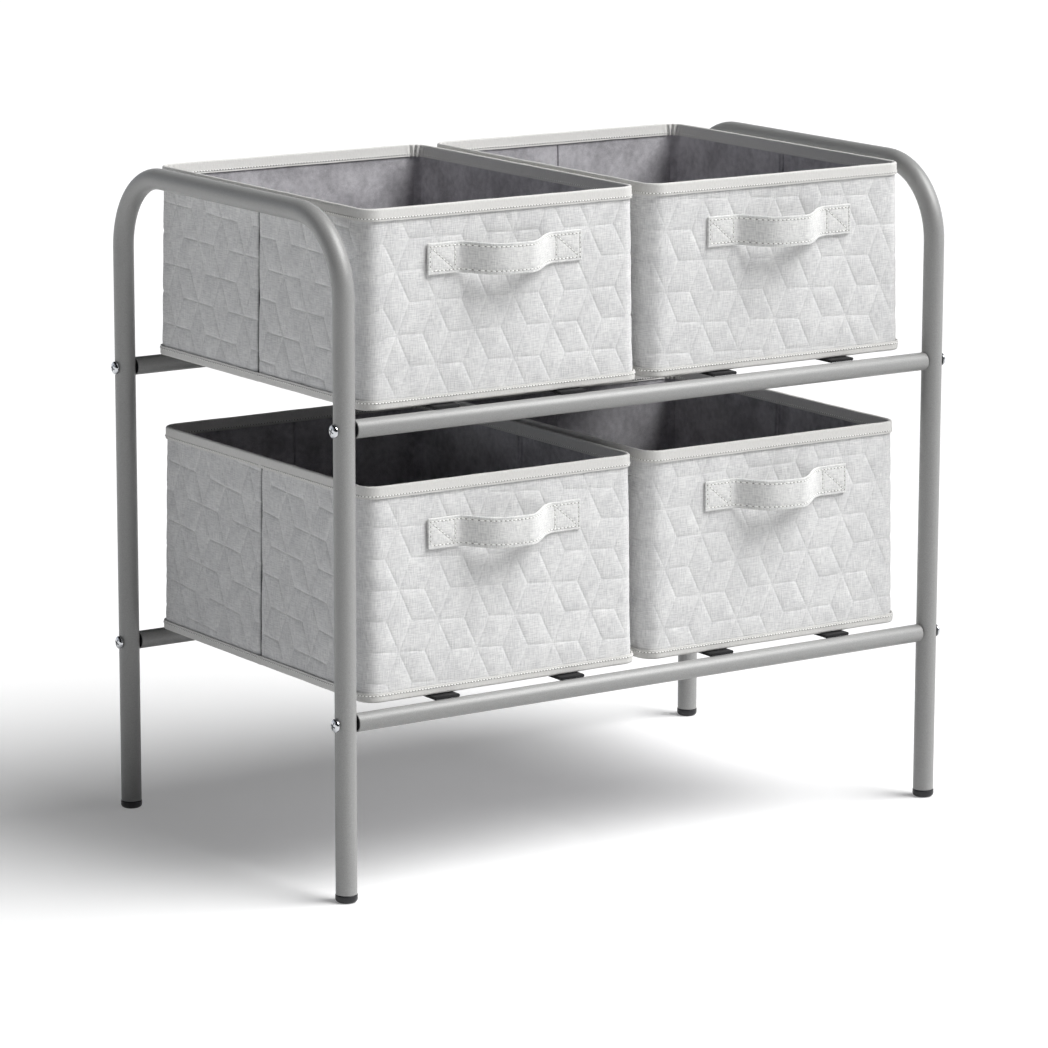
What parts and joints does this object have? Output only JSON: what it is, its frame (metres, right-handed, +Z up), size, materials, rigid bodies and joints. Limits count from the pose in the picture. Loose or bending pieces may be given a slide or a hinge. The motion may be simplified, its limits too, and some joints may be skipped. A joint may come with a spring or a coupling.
{
  "type": "fabric bin storage rack",
  "caption": "Tiered storage rack of bent grey steel tube with open quilted fabric bins that slide out to the front by their strap handles.",
  "frame": {"origin": "on the floor under the middle of the rack", "axes": "+Z up, +X from the left side frame to the right one, -Y out of the front where the handles are"},
  "size_m": [0.6684, 0.3996, 0.6074],
  "materials": {
    "powder_coat": "satin silver-grey powder coat",
    "slat_coat": "satin graphite powder coat",
    "black_plastic": "satin moulded",
    "chromed_steel": "polished",
    "quilted_fabric": "light grey heather weave, quilted",
    "binding_tape": "off-white woven tape, stitched",
    "lining_felt": "grey non-woven felt"
  },
  "bodies": {
    "rack": {"foot_front_left": "black_plastic", "foot_front_right": "black_plastic", "foot_rear_left": "black_plastic", "foot_rear_right": "black_plastic", "frame_screw_lower_front_left": "chromed_steel", "frame_screw_lower_front_right": "chromed_steel", "frame_screw_lower_rear_left": "chromed_steel", "frame_screw_lower_rear_right": "chromed_steel", "frame_screw_upper_front_left": "chromed_steel", "frame_screw_upper_front_right": "chromed_steel", "frame_screw_upper_rear_left": "chromed_steel", "frame_screw_upper_rear_right": "chromed_steel", "rail_lower_front": "powder_coat", "rail_lower_rear": "powder_coat", "rail_plug_lower_front_left": "black_plastic", "rail_plug_lower_front_right": "black_plastic", "rail_plug_lower_rear_left": "black_plastic", "rail_plug_lower_rear_right": "black_plastic", "rail_plug_upper_front_left": "black_plastic", "rail_plug_upper_front_right": "black_plastic", "rail_plug_upper_rear_left": "black_plastic", "rail_plug_upper_rear_right": "black_plastic", "rail_upper_front": "powder_coat", "rail_upper_rear": "powder_coat", "side_frame_left": "powder_coat", "side_frame_right": "powder_coat", "slat_lower_left_inner": "slat_coat", "slat_lower_left_outer": "slat_coat", "slat_lower_right_inner": "slat_coat", "slat_lower_right_outer": "slat_coat", "slat_upper_left_inner": "slat_coat", "slat_upper_left_outer": "slat_coat", "slat_upper_right_inner": "slat_coat", "slat_upper_right_outer": "slat_coat"},
    "bin_lower_left": {"bin_lower_left_base_binding": "binding_tape", "bin_lower_left_handle": "quilted_fabric", "bin_lower_left_lining": "lining_felt", "bin_lower_left_rim_binding": "binding_tape", "bin_lower_left_shell": "quilted_fabric"},
    "bin_lower_left_board": {"bin_lower_left_base_board": "lining_felt"},
    "bin_lower_right": {"bin_lower_right_base_binding": "binding_tape", "bin_lower_right_handle": "quilted_fabric", "bin_lower_right_lining": "lining_felt", "bin_lower_right_rim_binding": "binding_tape", "bin_lower_right_shell": "quilted_fabric"},
    "bin_lower_right_board": {"bin_lower_right_base_board": "lining_felt"},
    "bin_upper_left": {"bin_upper_left_base_binding": "binding_tape", "bin_upper_left_handle": "quilted_fabric", "bin_upper_left_lining": "lining_felt", "bin_upper_left_rim_binding": "binding_tape", "bin_upper_left_shell": "quilted_fabric"},
    "bin_upper_left_board": {"bin_upper_left_base_board": "lining_felt"},
    "bin_upper_right": {"bin_upper_right_base_binding": "binding_tape", "bin_upper_right_handle": "quilted_fabric", "bin_upper_right_lining": "lining_felt", "bin_upper_right_rim_binding": "binding_tape", "bin_upper_right_shell": "quilted_fabric"},
    "bin_upper_right_board": {"bin_upper_right_base_board": "lining_felt"}
  },
  "joints": [
    {"name": "bin_lower_left_slide", "type": "slide", "parent": "rack", "child": "bin_lower_left", "axis": [0, -1, 0], "range_m": [0, 0.352]},
    {"name": "bin_lower_right_slide", "type": "slide", "parent": "rack", "child": "bin_lower_right", "axis": [0, -1, 0], "range_m": [0, 0.352]},
    {"name": "bin_upper_left_slide", "type": "slide", "parent": "rack", "child": "bin_upper_left", "axis": [0, -1, 0], "range_m": [0, 0.352]},
    {"name": "bin_upper_right_slide", "type": "slide", "parent": "rack", "child": "bin_upper_right", "axis": [0, -1, 0], "range_m": [0, 0.352]},
    {"name": "bin_lower_left_board_lift", "type": "slide", "parent": "bin_lower_left", "child": "bin_lower_left_board", "axis": [0, 0, 1], "range_m": [0, 0.1]},
    {"name": "bin_lower_right_board_lift", "type": "slide", "parent": "bin_lower_right", "child": "bin_lower_right_board", "axis": [0, 0, 1], "range_m": [0, 0.1]},
    {"name": "bin_upper_left_board_lift", "type": "slide", "parent": "bin_upper_left", "child": "bin_upper_left_board", "axis": [0, 0, 1], "range_m": [0, 0.1]},
    {"name": "bin_upper_right_board_lift", "type": "slide", "parent": "bin_upper_right", "child": "bin_upper_right_board", "axis": [0, 0, 1], "range_m": [0, 0.1]}
  ]
}
